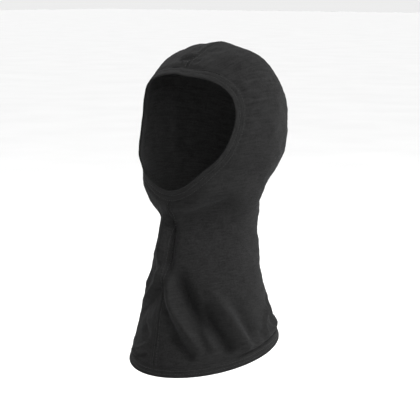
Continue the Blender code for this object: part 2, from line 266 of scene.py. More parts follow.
# Folds and creases: a path as a run of u, a, u, a; its height and its half width to either side in
# millimetres, first to the side of a + for a path that runs down; how much of it each end fades over.
FOLDS = (
    # long folds that fall from the throat across the wearer's left
    ((9.9, 0.29, 10.32, 0.39, 10.61, 0.45, 10.99, 0.54, 11.37, 0.65, 11.71, 0.75, 12, 0.85),
     -16, 9, 7.5, 0.42, 0.3),
    ((10.5, 0.52, 11, 0.6, 11.4, 0.72, 11.8, 0.86), -3.5, 18, 7, 0.3, 0.3),
    ((10.2, 0.13, 10.6, 0.2, 11, 0.24, 11.37, 0.37, 11.76, 0.53, 12.15, 0.65, 12.5, 0.74),
     10, 6, 6.5, 0.3, 0.25),
    ((10.9, 0.1, 11.2, 0.15, 11.5, 0.23, 11.8, 0.36, 12.05, 0.47), -4, 4, 5, 0.35, 0.3),
    ((10.99, 0.77, 11.39, 0.85, 11.8, 0.95, 12.26, 1.07, 12.62, 1.15), -12.5, 6, 8, 0.3, 0.2),
    ((10.5, 0.9, 11, 1.01, 11.45, 1.13, 11.9, 1.24, 12.4, 1.35, 12.7, 1.42), 7.5, 6, 8, 0.35, 0.3),
    ((10.7, 1.14, 11.3, 1.27, 11.9, 1.4, 12.5, 1.54), -5, 8, 7, 0.55, 0.25),
    ((11.5, 0.1, 11.9, 0.3, 12.13, 0.43, 12.46, 0.56, 12.65, 0.63), -8, 6, 6, 0.3, 0.3),
    ((11.5, 0.72, 11.85, 0.8, 12.2, 0.87, 12.5, 0.9), 5, 5, 5, 0.35, 0.3),
    ((12, 1.63, 12.4, 1.68, 12.8, 1.74), -2.5, 5, 5, 0.4, 0.2),
    # crease beside the front seam, down from the throat, and the ridge beyond it
    ((8.2, -0.2, 8.5, -0.1, 8.98, 0.02, 9.34, 0.07, 9.65, 0.07, 9.99, 0.07, 10.3, 0.1, 10.6, 0.07),
     -10.5, 7, 4.4, 0.15, 0.4),
    ((8.05, -0.44, 8.37, -0.38, 8.86, -0.29, 9.28, -0.27, 9.66, -0.29, 9.98, -0.29, 10.25, -0.24),
     6, 5, 8, 0.5, 0.35),
    # wearer's right: the throat's ridge opens into a rolled fold with a hollow under it
    ((9.91, -0.51, 10.3, -0.62, 10.7, -0.74, 10.95, -0.86), 2, 7, 8, 0.35, 0.35),
    ((10, -0.12, 10.32, -0.14, 10.65, -0.22, 10.97, -0.45, 11.25, -0.72, 11.5, -1), 6, 3.4, 8, 0.25, 0.5),
    ((10.4, -0.06, 10.82, -0.22, 11.18, -0.5, 11.48, -0.78, 11.7, -1.05), -5.5, 16, 4, 0.25, 0.3),
    ((8.7, -0.7, 9.2, -0.8, 9.7, -0.86, 10.1, -0.9), -2.5, 7, 8, 0.35, 0.35),
    ((12.75, -0.8, 12.55, -0.55, 12.36, -0.32, 12.16, -0.1), 6, 4, 5, 0.3, 0.25),
    ((12.7, -0.56, 12.56, -0.32, 12.42, -0.06), -5, 4.5, 4, 0.3, 0.4),
    ((11.6, -0.6, 11.85, -0.36, 12, -0.14), -3, 5, 5, 0.4, 0.4),
    ((10.9, -1.05, 11.4, -1.25, 11.9, -1.38, 12.4, -1.46), -5, 7, 8, 0.35, 0.3),
    ((10.8, -1.45, 11.4, -1.57, 12, -1.65, 12.5, -1.7), 4, 7, 7, 0.4, 0.2),
    # back of the bib
    ((11.4, 2.1, 11.68, 1.98, 11.85, 1.84, 12.07, 1.79, 12.5, 1.78), 3.6, 3, 3, 0.3, 0.2),
    ((11, 2.2, 11.5, 2.15, 12, 2.09, 12.5, 2.03), -4, 7, 8, 0.4, 0.25),
    ((10.6, 2.62, 11.4, 2.52, 12.3, 2.42), -5, 8, 8, 0.4, 0.3),
    ((10.8, -2.3, 11.5, -2.2, 12.3, -2.08), -5, 8, 8, 0.4, 0.3),
    ((10.9, -2.8, 11.7, -2.68, 12.4, -2.6), 4, 7, 7, 0.4, 0.3),
    # under the jaw: a roll of cloth above, a crease below
    ((8.4, -0.14, 8.5, 0.28, 8.3, 0.48, 8.01, 0.64, 7.71, 0.87, 7.4, 1.11, 7.19, 1.41),
     -8.5, 11, 14, 0.25, 0.3),
    ((8.15, -0.3, 8.3, -0.55, 8.2, -0.95, 7.9, -1.35), -3, 8, 9, 0.2, 0.3),
    ((7.56, -0.22, 7.58, 0, 7.56, 0.16, 7.49, 0.38, 7.24, 0.56, 6.95, 0.76), 6, 6, 7, 0.35, 0.4),
    ((7.2, -0.8, 7.6, -0.76, 7.95, -0.7, 8.2, -0.58), 1.5, 9, 12, 0.35, 0.2),
    ((8.7, 0.55, 9, 0.9, 8.9, 1.3), -1.8, 9, 9, 0.4, 0.4),
    # nape, where the head turns into the neck
    ((7.6, 1.9, 7.3, 2.4, 7.2, 3.1), -2.6, 7, 8, 0.4, 0.2),
    ((7.6, -1.9, 7.3, -2.4, 7.2, -3.1), -2.6, 7, 8, 0.4, 0.2),
    ((8.4, 2.2, 8, 2.6, 7.9, 3.1), 1.4, 6, 6, 0.4, 0.2),
    ((8.4, -2.2, 8, -2.6, 7.9, -3.1), 1.4, 6, 6, 0.4, 0.2),
    # cheek of the wearer's right, seen from inside through the face opening
    ((2.3, -1.5, 3.6, -1.46, 5, -1.42, 6.4, -1.36), 2, 8, 8, 0.45, 0.45),
    ((2.6, -1.85, 3.8, -1.8, 5.2, -1.78, 6.4, -1.7), -2.5, 9, 9, 0.45, 0.45),
    # small diagonal creases behind the brow and the cheek
    ((2.14, 1.04, 2.2, 1.13, 2.26, 1.24), 1.3, 1.7, 2.2, 0.4, 0.4),
    ((2.42, 1.02, 2.48, 1.12, 2.52, 1.26), 1.5, 1.7, 2.2, 0.4, 0.4),
    ((2.76, 1.17, 2.69, 1.3, 2.63, 1.46), 1.7, 1.7, 2.2, 0.4, 0.4),
    ((3.1, 1.22, 3.02, 1.4, 2.88, 1.64), 2, 1.7, 2.2, 0.4, 0.4),
    ((3.44, 1.2, 3.34, 1.38, 3.18, 1.62), 2, 1.7, 2.2, 0.4, 0.4),
    ((3.78, 1.16, 3.7, 1.32, 3.6, 1.5), 1.6, 1.7, 2, 0.4, 0.4),
    ((3.45, -1.3, 3.3, -1.45, 3.2, -1.66), -2.2, 2.8, 2.8, 0.4, 0.4),
    ((2.9, -1.25, 2.8, -1.42, 2.75, -1.6), -1.8, 2.8, 2.8, 0.4, 0.4),
    ((4.9, 1.9, 4.6, 2.1, 4.5, 2.4), -1.5, 4, 4, 0.4, 0.4),
    ((4.9, -1.9, 4.6, -2.1, 4.5, -2.4), -1.5, 4, 4, 0.4, 0.4),
    # pucker beside the crown seam, above the brow
    ((1.26, -0.34, 1.16, -0.24, 1.12, -0.14, 1.14, -0.04, 1.16, 0.06), 2.3, 1.9, 2.2, 0.3, 0.25),
    ((1.43, -0.27, 1.34, -0.16, 1.3, -0.05, 1.36, 0.06), -3.4, 2.4, 2.4, 0.3, 0.3),
    ((1.22, 0.02, 1.36, 0.03, 1.5, 0.01), 1.6, 1.8, 1.8, 0.3, 0.3),
    ((1.3, -0.16, 1.42, -0.14, 1.52, -0.15), 1.2, 1.6, 1.6, 0.3, 0.3),
    ((1.28, 0.14, 1.42, 0.12, 1.5, 0.08), -1.4, 2, 2, 0.3, 0.3),
    ((0.8, -1, 0.5, -1.18, 0.3, -1.4), 1.6, 14, 14, 0.4, 0.4),
    ((0.55, -0.45, 0.75, -0.2, 0.95, -0.08), -1.4, 3, 2.4, 0.3, 0.3),
    ((0.55, 0.35, 0.8, 0.2, 1, 0.12), -1, 2.4, 2.4, 0.3, 0.3),
)

SEAM_ROW = 2.8 * MM

# ridges and dents across a seam or an edge: distance, half width and height, in millimetres
SEAM_PROFILE = (
    (0.0, 0.9, -0.8),  # the groove where the halves meet
    (1.5, 1.0, 0.85),  # the welt
    (2.8, 0.6, -0.45),  # the dent under each row of stitches
    (4.2, 1.2, 0.45),  # the cloth beyond it
)
FACE_PROFILE = (
    (5.0, 4.0, 0.5),  # the cloth that swells beyond the face strip
    (0.4, 1.5, -0.5),  # the dent at the strip's edge
)
HEM_PROFILE = (
    (6.0, 4.5, 3.0),  # the roll of cloth above the hem strip
    (0.6, 1.7, -2.4),  # the dent at the strip's edge
)


def across_profile(distance, profile):
    """The height at a distance from a seam or an edge, from a table of ridges and dents."""
    return sum(
        height * MM * np.exp(-((distance - centre * MM) / (width * MM)) ** 2)
        for centre, width, height in profile
    )


# unevenness of the cloth: height and size in millimetres, seed of the draw, and stretch
RIPPLES = (
    (0.45, 42, 11, (1, 1, 0.7)),
    (0.16, 15, 12, (1, 1, 0.55)),
    (0.05, 6, 13, (1, 1, 1)),
)

# the crown swells towards the centre plane, most at the section DOME_AT
DOME_AT = 0.98
DOME_SPREAD = 0.68
DOME_FADE = 0.8
DOME_FRONT = 4.0 * MM
DOME_BACK = 5.5 * MM

# fine gathers along the face strip: how many, how high and how far they reach
GATHERS = 62
GATHER_HEIGHT = 0.30 * MM
GATHER_REACH = 7 * MM

CALM_AT_FACE = 0.12  # the share of the folds that is left beside the face strip
ROLL_ELSEWHERE = 0.25  # the share of the hem's roll that is left away from the bib's two sides

RIM_T = np.linspace(0, 2 * pi, 720, endpoint=False)


def edge_distances(u, a, points):
    """How far points lie outside the face opening (below zero inside it) and above the hem."""
    index, far = nearest(surface(*rim(RIM_T)), points)
    t = RIM_T[index]
    edge = surface(*rim(t))
    outward = surface(*beside_rim(t, 5 * MM)) - edge
    side = np.sign(((points - edge) * outward).sum(-1))
    face = far * side + rim_step(t)
    down, _ = slopes(np.full(a.shape, float(HEM)), a)
    hem = (HEM - u) * np.linalg.norm(down, axis=-1)
    return t, face, hem


def relief(u, a, seams=True):
    """The height of the cloth above the plain surface, and the distance outside the face opening."""
    u, a = (np.asarray(v, float).ravel() for v in np.broadcast_arrays(u, a))
    points = surface(u, a)
    t, face, hem = edge_distances(u, a, points)
    folds = np.zeros(len(points))
    for path, height, upper, lower, *ends in FOLDS:
        folds += crease(points, path, height * MM, upper * MM, lower * MM, ends)
    for height, size, seed, stretch in RIPPLES:
        folds += height * MM * ripple(points, size * MM, seed, stretch)

    dome = np.exp(-((u - DOME_AT) / DOME_SPREAD) ** 2) * smoothstep(0, DOME_FADE, u)
    folds += dome * np.where(np.cos(a) > 0, DOME_FRONT, DOME_BACK) * np.cos(a) ** 4
    gather = np.sin(GATHERS * t + 2.0 * np.sin(3 * t)) * (0.55 + 0.45 * np.sin(5 * t + 1))
    folds += gather * GATHER_HEIGHT * np.exp(-((face - FACE_BAND) / GATHER_REACH) ** 2)
    calm = smoothstep(FACE_BAND - 2 * MM, FACE_BAND + 9 * MM, face)
    calm = CALM_AT_FACE + (1 - CALM_AT_FACE) * calm
    calm *= smoothstep(HEM_BAND - 4 * MM, HEM_BAND + 12 * MM, hem)
    total = folds * calm

    sides = smoothstep(0.8, 1.4, np.abs(a)) * (1 - smoothstep(2.2, 2.9, np.abs(a)))
    roll = ROLL_ELSEWHERE + (1 - ROLL_ELSEWHERE) * sides
    total += roll * across_profile(hem - HEM_BAND, HEM_PROFILE)
    total += across_profile(face - FACE_BAND, FACE_PROFILE)
    if seams:
        total += across_profile(np.abs(points[:, 0] - SEAT.x), SEAM_PROFILE)
    return total, face


# ---- building helpers

def new_object(name, data):
    """An object in the scene."""
    made = bpy.data.objects.new(name, data)
    bpy.context.scene.collection.objects.link(made)
    return made


def corner_points(mesh):
    """The index of the point at every corner of a mesh's faces."""
    corner = np.empty(len(mesh.loops), dtype=np.int64)
    mesh.loops.foreach_get("vertex_index", corner)
    return corner


def new_mesh(name, points, faces, cloths=(), uv=None, slots=None):
    """An object from arrays: points, faces, a UV pair for each point, a cloth's number each face."""
    mesh = bpy.data.meshes.new(name)
    mesh.from_pydata(np.asarray(points).tolist(), [], [tuple(map(int, f)) for f in faces])
    if uv is not None:
        layer = mesh.uv_layers.new(name="cloth")
        layer.data.foreach_set("uv", np.asarray(uv, float)[corner_points(mesh)].ravel())
    if slots is not None:
        mesh.polygons.foreach_set("material_index", np.asarray(slots, dtype=np.int32))
    for cloth in cloths:
        mesh.materials.append(cloth)
    mesh.shade_smooth()
    mesh.update()
    return new_object(name, mesh)


def open_edges(quads):
    """The edges that only one quad has, as pairs of indices in that quad's order."""
    edges = np.concatenate([quads[:, [i, (i + 1) % 4]] for i in range(4)])
    keys = np.sort(edges, axis=1)
    _, first, times = np.unique(keys, axis=0, return_index=True, return_counts=True)
    return edges[first[times == 1]]


def thick_sheet(name, points, back, faces, cloths, uv):
    """A closed sheet: a front skin, a back skin in the second cloth, and a rim round every edge."""
    count = len(points)
    border = open_edges(faces)
    rims = np.stack((border[:, 1], border[:, 0], border[:, 0] + count, border[:, 1] + count), 1)
    everything = np.concatenate((faces, faces[:, ::-1] + count, rims))
    slots = np.concatenate((np.zeros(len(faces)), np.ones(len(faces) + len(rims))))
    return new_mesh(name, np.vstack((points, back)), everything, cloths, np.vstack((uv, uv)), slots)


def grid_faces(rows, columns, closed=False):
    """Quads over a grid of points; closed joins the last row and column to the first."""
    open_ends = 0 if closed else 1
    i, j = np.meshgrid(np.arange(rows - open_ends), np.arange(columns - open_ends), indexing="ij")
    row, next_row = i * columns, (i + 1) % rows * columns
    next_j = (j + 1) % columns
    return np.stack((row + j, next_row + j, next_row + next_j, row + next_j), -1).reshape(-1, 4)


def face_out(piece):
    """Turn every face of a closed mesh outwards."""
    edit = bmesh.new()
    edit.from_mesh(piece.data)
    bmesh.ops.recalc_face_normals(edit, faces=edit.faces)
    edit.to_mesh(piece.data)
    edit.free()
    piece.data.shade_smooth()


def finish_piece(piece, node):
    """The piece rides on the body and stands for its CAD node, which is hidden."""
    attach(piece, BODY)
    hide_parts(node)
    return piece


# ---- materials

class Nodes:
    """Short helpers to wire up the nodes of one material or world."""

    def __init__(self, owner):
        owner.use_nodes = True
        self.material = owner
        self.tree = owner.node_tree
        self.shader = self.tree.nodes.get("Principled BSDF") or self.tree.nodes["Background"]

    def add(self, kind, **settings):
        """A node of one kind, with its properties set."""
        node = self.tree.nodes.new(kind)
        for key, value in settings.items():
            setattr(node, key, value)
        return node

    def put(self, socket, value):
        """Link a socket to an output, or set its value."""
        if isinstance(value, bpy.types.NodeSocket):
            self.tree.links.new(value, socket)
        else:
            socket.default_value = value

    def set(self, node, **values):
        """Link or set a node's inputs, with _ for the spaces in their names."""
        for name, value in values.items():
            self.put(node.inputs[name.replace("_", " ")], value)
        return node

    def finish(self, **values):
        """Set the shader's inputs, and give the material."""
        self.set(self.shader, **values)
        return self.material

    def place(self):
        """Where a point is on the object."""
        return self.add("ShaderNodeTexCoord").outputs["Object"]

    def cloth(self):
        """Where a point is on the flat cloth."""
        split = self.add("ShaderNodeSeparateXYZ")
        self.put(split.inputs[0], self.add("ShaderNodeUVMap", uv_map="cloth").outputs[0])
        return split.outputs

    def math(self, operation, a, b=0.0, c=0.0):
        """A Math node's result."""
        node = self.add("ShaderNodeMath", operation=operation)
        for socket, value in zip(node.inputs, (a, b, c)):
            self.put(socket, value)
        return node.outputs[0]

    def times(self, a, b, plus=0.0):
        """a times b, plus a number."""
        return self.math("MULTIPLY_ADD", a, b, plus)

    def noise(self, vector, scale, detail=2.0, rough=0.5):
        """A Noise texture's value."""
        node = self.add("ShaderNodeTexNoise")
        self.set(node, Vector=vector, Scale=scale, Detail=detail, Roughness=rough)
        return node.outputs["Fac"]

    def ramp(self, value, *stops):
        """A colour ramp through (position, grey or colour) stops."""
        node = self.add("ShaderNodeValToRGB")
        ramp = node.color_ramp
        while len(ramp.elements) < len(stops):
            ramp.elements.new(0.5)
        for element, (position, colour) in zip(ramp.elements, stops):
            element.position = position
            element.color = (*colour, 1) if hasattr(colour, "__len__") else (colour,) * 3 + (1,)
        self.put(node.inputs[0], value)
        return node.outputs[0]

    def bump(self, height, strength, distance, under=None):
        """A Bump node's normal, over another one."""
        node = self.set(self.add("ShaderNodeBump"), Height=height, Strength=strength, Distance=distance)
        if under is not None:
            self.set(node, Normal=under)
        return node.outputs[0]


# each knit: spacing of its columns and rows of loops (mm), darkest and lightest grey of the yarn,
# height of the loops (mm), and how fine the nap is
KNITS = {
    "hood_outside": (1.15, 0.85, 0.0062, 0.0150, 0.16, 1.0),
    # the inside is the same yarn in lighter greys: painted light for the light that reaches the inside of
    # the hood
    "hood_inside": (1.15, 0.85, 0.0125, 0.0270, 0.20, 0.8),
    "strip_outside": (0.95, 0.75, 0.0062, 0.0142, 0.14, 1.0),
    # the lining is the same yarn in lighter greys: painted light for the light that reaches the inside of
    # the strips
    "strip_inside": (0.95, 0.75, 0.0155, 0.0320, 0.14, 1.0),
}
THREAD_GREYS = (0.0062, 0.015)
TAPE_GREYS = ((0.42, 0.42, 0.41), (0.62, 0.62, 0.60))
TAPE_WEAVE = 0.45 * MM

# how much of a knit's grey comes from each of its patterns; the loops' part is painted shade, darker in
# the gaps between the loops
GRAIN_SHARE = 0.40
NAP_SHARE = 0.20
CLOUD_SHARE = 0.10
STREAK_SHARE = 0.42
LOOP_GAP_SHADE = 0.16


def knit_material(name, wale, course, dark, light, loop_height, nap_scale):
    """Fine jersey: columns of V-shaped loops, heathered yarn, and a brushed nap."""
    n = Nodes(bpy.data.materials.new(name))
    cloth, place = n.cloth(), n.place()
    wander = n.noise(place, scale=60.0, detail=1.0)
    wander = n.times(n.math("SUBTRACT", wander, 0.5), 0.9)
    across = n.math("ADD", n.math("DIVIDE", cloth[0], wale * MM), wander)
    along = n.math("ADD", n.math("DIVIDE", cloth[1], course * MM), wander)
    column = n.math("SUBTRACT", n.math("FRACT", across), 0.5)
    leg = n.math("ABSOLUTE", n.times(column, 2.0))
    rise = n.math("ADD", along, n.times(leg, 0.6))
    loop = n.math("SINE", n.times(rise, 2 * pi))
    loop = n.times(loop, 0.5, 0.5)
    ridge = n.math("SINE", n.times(leg, pi))
    height = n.times(n.math("POWER", ridge, 0.6), n.times(loop, 0.6, 0.4))

    nap = n.noise(place, scale=1500.0 * nap_scale, detail=3.0, rough=0.65)
    grain = n.noise(place, scale=520.0, detail=2.0, rough=0.6)
    cloud = n.noise(place, scale=130.0, detail=2.0, rough=0.5)
    stretch = n.add("ShaderNodeCombineXYZ")
    n.set(stretch, X=n.times(cloth[0], 70.0), Y=n.times(cloth[1], 620.0))
    streak = n.noise(stretch.outputs[0], scale=1.0, detail=2.0, rough=0.6)
    shade = n.times(cloud, CLOUD_SHARE)
    for pattern, share in ((nap, NAP_SHARE), (grain, GRAIN_SHARE), (streak, STREAK_SHARE)):
        shade = n.times(pattern, share, shade)
    # painted shade: the yarn is darker where the loops' height is low, in the gaps between them
    shade = n.math("ADD", shade, n.times(n.math("SUBTRACT", height, 0.4), LOOP_GAP_SHADE))

    normal_out = n.bump(height, strength=0.6, distance=loop_height * MM)
    normal_out = n.bump(nap, strength=0.45, distance=0.35 * MM, under=normal_out)
    normal_out = n.bump(grain, strength=0.4, distance=0.6 * MM, under=normal_out)
    normal_out = n.bump(streak, strength=0.6, distance=0.5 * MM, under=normal_out)
    return n.finish(
        Base_Color=n.ramp(shade, (0.43, dark), (0.70, light)),
        Roughness=n.times(nap, 0.2, 0.78),
        Normal=normal_out, Specular_IOR_Level=0.04,
        Sheen_Weight=0.04, Sheen_Roughness=0.45, Sheen_Tint=(0.62, 0.62, 0.64, 1),
    )


def thread_material(name, dark, light):
    """Spun sewing thread with a fine diagonal twist."""
    n = Nodes(bpy.data.materials.new(name))
    place = n.place()
    twist = n.add("ShaderNodeTexWave", wave_type="BANDS", bands_direction="DIAGONAL")
    n.set(twist, Vector=place, Scale=700.0, Distortion=1.5)
    fuzz = n.noise(place, scale=2600.0, detail=2.0)
    mixed = n.times(twist.outputs["Fac"], 0.6, n.times(fuzz, 0.4))
    return n.finish(
        Base_Color=n.ramp(mixed, (0.2, dark), (0.8, light)),
        Roughness=n.times(fuzz, 0.2, 0.5),
        Normal=n.bump(mixed, strength=0.5, distance=0.12 * MM),
        Specular_IOR_Level=0.18, Sheen_Weight=0.1, Sheen_Roughness=0.4,
    )


def tape_material(name, dark, light):
    """Plain woven label tape."""
    n = Nodes(bpy.data.materials.new(name))
    warp, weft = (n.math("SINE", n.times(way, 2 * pi / TAPE_WEAVE)) for way in n.cloth()[:2])
    weave = n.times(n.times(warp, weft), 0.5, 0.5)
    wear = n.noise(n.place(), scale=220.0, detail=3.0)
    shade = n.times(weave, 0.4, n.times(wear, 0.6))
    return n.finish(
        Base_Color=n.ramp(shade, (0.2, dark), (0.8, light)),
        Roughness=n.times(wear, 0.2, 0.55),
        Normal=n.bump(weave, strength=0.5, distance=0.15 * MM), Sheen_Weight=0.1,
    )


# ---- the two halves of the hood

PANEL_ROWS = 250
PANEL_COLUMNS = 150
CENTRE_CROWDING = 0.6  # how much the grid's columns crowd towards the centre seams
HEM_CROWDING = 0.45  # how much its rows crowd towards the hem
CUT = 3.2 * MM  # how far short of the strips' folds the cloth ends
LAP = 0.2 * MM  # how far each half reaches past the centre plane, into the other
RAGGED = 6 * MM  # how far beyond the cut the grid's open edge can lie
ON_SEAM = 1e-6  # the sine of the angle below which a point is on a centre seam

FLAT_ROWS = 40
FLAT_COLUMNS = 28
FLAT_TOP = 0.02  # the section the flat pattern starts from, just below the apex


def flat_pattern():
    """The half hood laid flat: a grid of UVs in metres, area kept, over even steps of (u, a)."""
    u = np.linspace(FLAT_TOP, HEM, FLAT_ROWS)
    a = np.linspace(0, pi, FLAT_COLUMNS)
    points = surface(u[:, None], a).reshape(-1, 3)
    quads = grid_faces(FLAT_ROWS, FLAT_COLUMNS)
    sheet = new_mesh("flat_pattern", points, quads)
    bpy.context.view_layer.objects.active = sheet
    sheet.select_set(True)
    bpy.ops.object.mode_set(mode="EDIT")
    bpy.ops.mesh.select_all(action="SELECT")
    bpy.ops.uv.unwrap(method="CONFORMAL", margin=0)
    bpy.ops.object.mode_set(mode="OBJECT")
    mesh = sheet.data
    flat = np.empty(2 * len(mesh.loops))
    mesh.uv_layers.active.data.foreach_get("uv", flat)
    uv = np.zeros((len(points), 2))
    uv[corner_points(mesh)] = flat.reshape(-1, 2)
    bpy.data.objects.remove(sheet)
    bpy.data.meshes.remove(mesh)

    # the area of every quad is half the cross product of its diagonals
    p, q = (points[quads[:, k + 2]] - points[quads[:, k]] for k in (0, 1))
    area = 0.5 * np.linalg.norm(np.cross(p, q), axis=1).sum()
    p, q = (uv[quads[:, k + 2]] - uv[quads[:, k]] for k in (0, 1))
    flat_area = 0.5 * np.abs(p[:, 0] * q[:, 1] - p[:, 1] * q[:, 0]).sum()
    uv *= np.sqrt(area / flat_area)
    grid = uv.reshape(FLAT_ROWS, FLAT_COLUMNS, 2)
    middle = FLAT_COLUMNS // 2
    run = grid[FLAT_ROWS // 2, middle] - grid[-4, middle]
    turn = np.arctan2(run[0], run[1])
    rotation = np.array(((np.cos(turn), -np.sin(turn)), (np.sin(turn), np.cos(turn))))
    grid = grid @ rotation.T
    return grid - grid.min((0, 1)), area


def read_pattern(grid, u, a):
    """The flat pattern's UV at any (u, a), a from 0 to pi."""
    row = np.clip((u - FLAT_TOP) / (HEM - FLAT_TOP), 0, 1) * (FLAT_ROWS - 1)
    column = np.clip(a / pi, 0, 1) * (FLAT_COLUMNS - 1)
    i = np.clip(row.astype(int), 0, FLAT_ROWS - 2)
    j = np.clip(column.astype(int), 0, FLAT_COLUMNS - 2)
    f, g = (row - i)[:, None], (column - j)[:, None]
    top = grid[i, j] * (1 - g) + grid[i, j + 1] * g
    bottom = grid[i + 1, j] * (1 - g) + grid[i + 1, j + 1] * g
    return top * (1 - f) + bottom * f


def nearest_on_rim(places):
    """The t of the rim's point nearest to each place on the surface."""
    index, _ = nearest(surface(*rim(RIM_T)), places)
    t = RIM_T[index]
    slope = rim_slope(t)
    return t + ((places - surface(*rim(t))) * slope).sum(-1) / (slope * slope).sum(-1)


def half_hood(name, side, pattern, cloths):
    """One half of the hood, with its relief, cut out for the face."""
    share = np.linspace(0, 1, PANEL_ROWS + 1)[1:]
    share = share + HEM_CROWDING * np.sin(pi * share) / pi * share
    fan = np.linspace(0, 1, PANEL_COLUMNS + 1)
    fan = fan - CENTRE_CROWDING * np.sin(2 * pi * fan) / (2 * pi)
    a = np.broadcast_to(side * pi * fan, (PANEL_ROWS, PANEL_COLUMNS + 1)).ravel()
    end, _ = above_hem(side * pi * fan, CUT)
    u = (share[:, None] * end).ravel()
    faces = grid_faces(PANEL_ROWS, PANEL_COLUMNS + 1)
    height, face = relief(u, a)

    # drop the quads inside the opening, and move the ragged edge this leaves to the line of the cut
    faces = faces[face[faces].min(1) > CUT]
    ragged = np.zeros(len(u), dtype=bool)
    ragged[open_edges(faces)] = True
    ragged &= face < CUT + RAGGED
    seam = np.abs(np.sin(a)) < ON_SEAM
    eyes = 0.5 * (FACE_TOP + FACE_CHIN)
    for end_of_seam in (u < eyes, u >= eyes):
        line = np.flatnonzero(ragged & seam & end_of_seam)
        ragged[line] = False
        ragged[line[np.argmin(face[line])]] = True
    t = nearest_on_rim(surface(u[ragged], a[ragged]))
    u[ragged], a[ragged] = beside_rim(t, CUT)
    height[ragged] = relief(u[ragged], a[ragged])[0]

    n = normal(u, a)
    points = surface(u, a) + n * height[:, None]
    back = points - n * KNIT
    for skin in (points, back):
        skin[:, 0] = SEAT.x + side * np.where(seam, -LAP, side * (skin[:, 0] - SEAT.x))
    uv = read_pattern(pattern, u, np.abs(a))
    used = np.unique(faces)
    renumber = np.full(len(points), -1)
    renumber[used] = np.arange(len(used))
    faces = renumber[faces]
    if side < 0:
        faces = faces[:, ::-1]
    return thick_sheet(name, points[used], back[used], faces, cloths, uv[used])


# ---- folded strips

FOLD_RADIUS = 1.25 * MM
STITCH_PITCH = 3.2 * MM
OUTER_POINTS, BEND_POINTS, INNER_POINTS = 26, 18, 12
LEG_FOOT = 0.1 * MM  # above this lift the profile is the outer leg's outside
LEG_LEAST = 0.15 * MM  # the least lift of the outside
LEG_HEIGHT = 0.75 * MM  # what it adds to that between the rows of stitches
ROW_DENT = 0.5 * MM
ROW_DENT_WIDTH = 0.9 * MM
FOLD_SWELL = 0.3 * MM
FOLD_SWELL_WIDTH = 2.2 * MM
LEG_TAPER = 0.8 * MM  # over what width the leg thins towards its edge
EDGE_SHARE = 0.45  # the share of the height that is left there
INNER_SHORT = 0.6 * MM  # how much shorter the inner leg is

# the share of that lift each strip stands at: the face strip's, what it gains round the chin,
# where and over what turn it gains it, and the hem strip's
FACE_STAND = 0.42
CHIN_STAND = 0.58
CHIN_SHIFT = 0.15
CHIN_SPREAD = 0.95
HEM_STAND = 0.6

# unevenness of the strips, and how every stitch draws them in
WIDTH_WOBBLE, WIDTH_WOBBLE_SIZE = 0.35 * MM, 30 * MM
STAND_WOBBLE, STAND_WOBBLE_SIZE = 0.12, 22 * MM
DRAW_IN = 0.22 * MM
DRAW_IN_WIDTH = 1.4 * MM


def swell(reach, band, rows):
    """How far the strip's outer leg stands off the hood: it swells between the rows of stitches."""
    height = np.full(np.shape(reach), LEG_HEIGHT)
    for row in rows.values():
        height = height - ROW_DENT * np.exp(-((reach - row) / ROW_DENT_WIDTH) ** 2)
    height = height + FOLD_SWELL * np.exp(-((reach - FOLD_RADIUS) / FOLD_SWELL_WIDTH) ** 2)
    edge = 1 - smoothstep(band - LEG_TAPER, band, reach)
    return LEG_LEAST + height * (EDGE_SHARE + (1 - EDGE_SHARE) * edge)


def strip_profile(band, rows):
    """Round the folded strip: reach from the fold and lift, and the distance along the cloth."""
    outer = np.linspace(band, FOLD_RADIUS, OUTER_POINTS)
    lift_out = swell(outer, band, rows)
    turns = np.linspace(pi / 2, -pi / 2, BEND_POINTS)[1:-1]
    top, bottom = lift_out[-1], -KNIT - LEG_HEIGHT
    centre, tall = 0.5 * (top + bottom), 0.5 * (top - bottom)
    bend = [(FOLD_RADIUS * (1 - np.cos(t)), centre + tall * np.sin(t)) for t in turns]
    short = band - INNER_SHORT
    inner = np.linspace(FOLD_RADIUS, short, INNER_POINTS)
    inner_lift = np.full(inner.shape, bottom)
    inner_lift[1:] += 0.15 * MM
    inner_lift[-1] += 0.4 * MM
    skin = np.array([*zip(outer, lift_out), *bend, *zip(inner, inner_lift)])
    # the side that lies against the hood: along its inside, round its cut edge, along its outside
    under, over = -KNIT - 0.08 * MM, 0.05 * MM
    hidden = np.array([
        (short, under), (0.5 * band, under), (2.6 * MM, under), (2.0 * MM, -0.5 * KNIT),
        (2.6 * MM, over), (0.5 * band, over), (band, over),
    ])
    loop = np.vstack((skin, hidden))
    steps = np.linalg.norm(np.diff(loop, axis=0), axis=1)
    return loop, np.concatenate(([0], np.cumsum(steps)))


def chin_presence(turn):
    """The face strip stands proud at the chin and lies nearly flush elsewhere."""
    return FACE_STAND + CHIN_STAND * np.exp(-(((turn - pi + CHIN_SHIFT) / CHIN_SPREAD) ** 2))


def hem_presence(turn):
    """The hem strip lies nearly flush all round."""
    return np.full(np.shape(turn), HEM_STAND)


